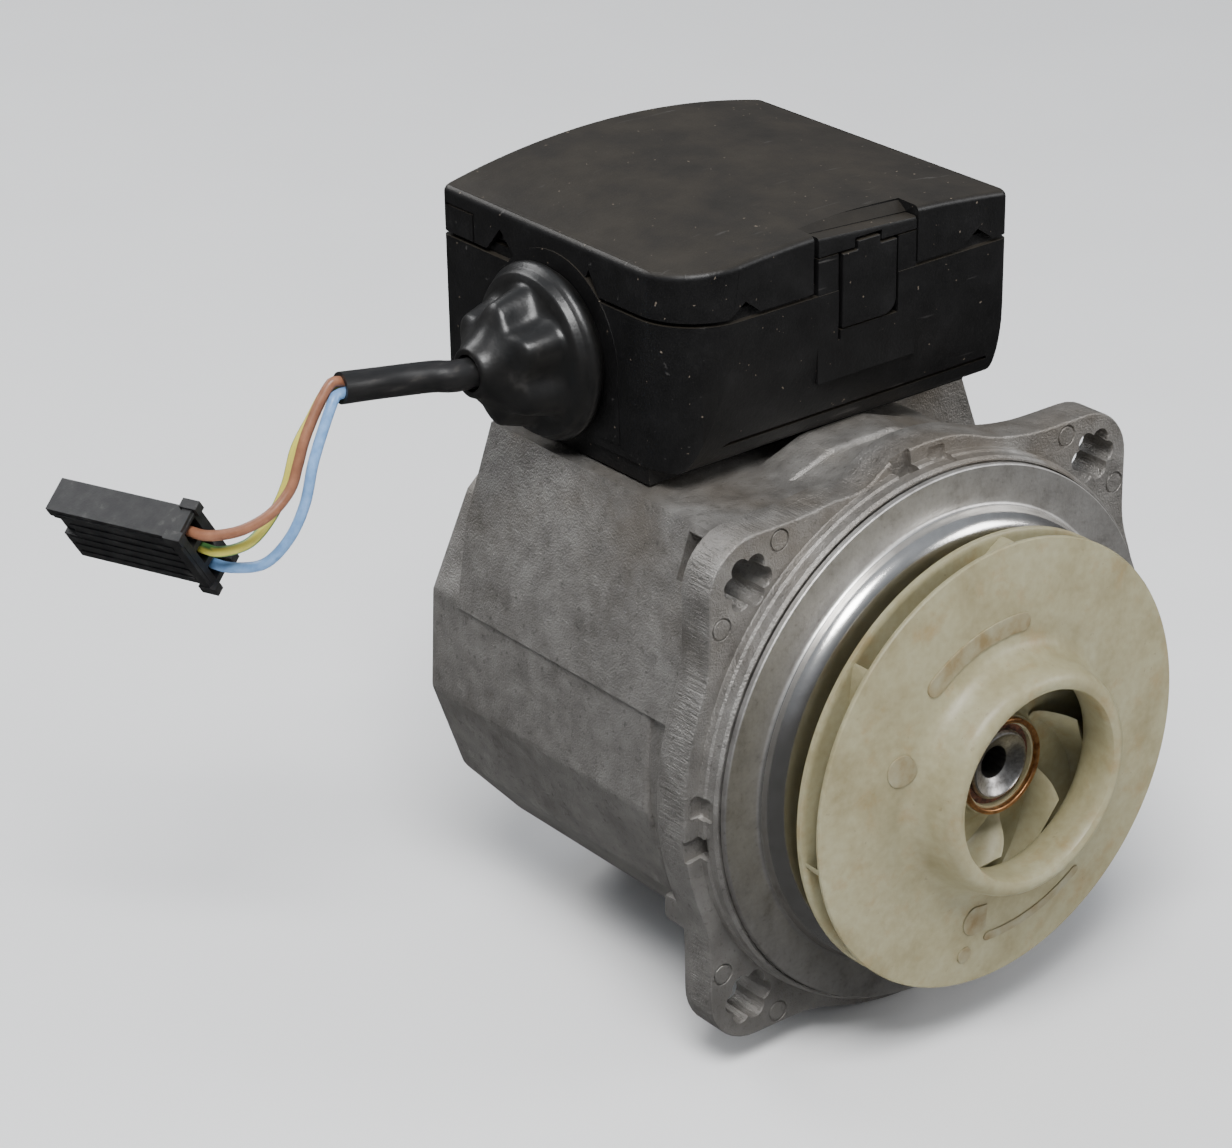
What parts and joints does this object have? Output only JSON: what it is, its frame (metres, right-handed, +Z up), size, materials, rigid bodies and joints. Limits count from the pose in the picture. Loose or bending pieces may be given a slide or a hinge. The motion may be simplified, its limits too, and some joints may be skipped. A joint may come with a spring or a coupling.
{
  "type": "circulator pump",
  "caption": "Wet-rotor circulator pump head with a faceted cast motor, square four-lobed flange, closed impeller, arched terminal box and short plug-in lead.",
  "frame": {"origin": "on the shaft axis, in the plane of the bearing plate's sealing ring, where the head meets the pump body", "axes": "+Z up through the terminal box, shaft along Y with the impeller facing -Y, +X to the right seen from the impeller side"},
  "size_m": [0.1719, 0.1245, 0.1436],
  "materials": {
    "cast_housing": "die-cast, sand-textured and slightly stained",
    "stainless_plate": "pressed stainless, polished on the shoulder",
    "dark_steel": "plain machined steel",
    "electrical_steel": "stacked laminations",
    "copper": "enamelled or plain copper",
    "brass": "machined brass",
    "carbon": "resin-bonded carbon",
    "box_plastic": "moulded, finely textured black",
    "gland_rubber": "glossy black moulded rubber",
    "impeller_plastic": "glass-filled grey-beige moulding",
    "seal_rubber": "matt black",
    "terminal_plastic": "natural nylon",
    "lead_sheath": "satin black",
    "wire_brown": "satin brown",
    "wire_green_yellow": "green with yellow stripe",
    "wire_blue": "satin blue"
  },
  "bodies": {
    "root": {"motor_housing": "cast_housing", "stator_stack": "electrical_steel", "winding_front": "copper", "winding_rear": "copper", "rotor_can": "stainless_plate", "bearing_plate": "stainless_plate", "can_seal": "seal_rubber", "front_bearing": "carbon", "rear_bearing": "carbon", "terminal_box_base": "box_plastic", "terminal_block": "terminal_plastic", "terminal_screw_1": "brass", "terminal_screw_2": "brass", "terminal_screw_3": "brass", "run_capacitor": "terminal_plastic", "box_screw_left": "dark_steel", "box_screw_right": "dark_steel", "earth_screw": "brass", "earth_tag": "brass", "cable_boot": "gland_rubber", "cord_grip": "terminal_plastic", "lead_sheath": "lead_sheath", "wire_brown": "wire_brown", "wire_green_yellow": "wire_green_yellow", "wire_blue": "wire_blue", "connector_housing": "box_plastic", "contact_1": "brass", "contact_2": "brass", "contact_3": "brass"},
    "rotor": {"shaft": "dark_steel", "rotor_core": "stainless_plate", "thrust_ring": "carbon", "impeller_back": "impeller_plastic", "impeller_front": "impeller_plastic", "hub_ring": "copper"},
    "cover": {"terminal_box_cover": "box_plastic"},
    "latch": {"cover_latch": "box_plastic"},
    "vent_seal": {"vent_plug_seal": "seal_rubber"},
    "vent": {"vent_plug": "brass"}
  },
  "joints": [
    {"name": "rotor_spin", "type": "hinge", "parent": "root", "child": "rotor", "pos_m": [0, 0, 0], "axis": [0, -1, 0], "continuous": true},
    {"name": "cover_lift", "type": "hinge", "parent": "root", "child": "cover", "pos_m": [0, 0.093, 0.0765], "axis": [-1, 0, 0], "range_deg": [0, 95]},
    {"name": "latch_flex", "type": "hinge", "parent": "cover", "child": "latch", "pos_m": [0.00425, 0.0262, 0.0828], "axis": [-1, 0, 0], "range_deg": [0, 8], "stiffness_Nm_per_rad": 0.05},
    {"name": "vent_slide", "type": "slide", "parent": "root", "child": "vent_seal", "axis": [0, 1, 0], "range_m": [0, 0.0041]},
    {"name": "vent_turn", "type": "hinge", "parent": "vent_seal", "child": "vent", "pos_m": [0, 0.0868, 0], "axis": [0, 1, 0], "range_deg": [0, 1440]}
  ],
  "couplings": [
    {"joint": "vent_slide", "follows": "vent_turn", "m_per_rad": 0.00015915}
  ]
}
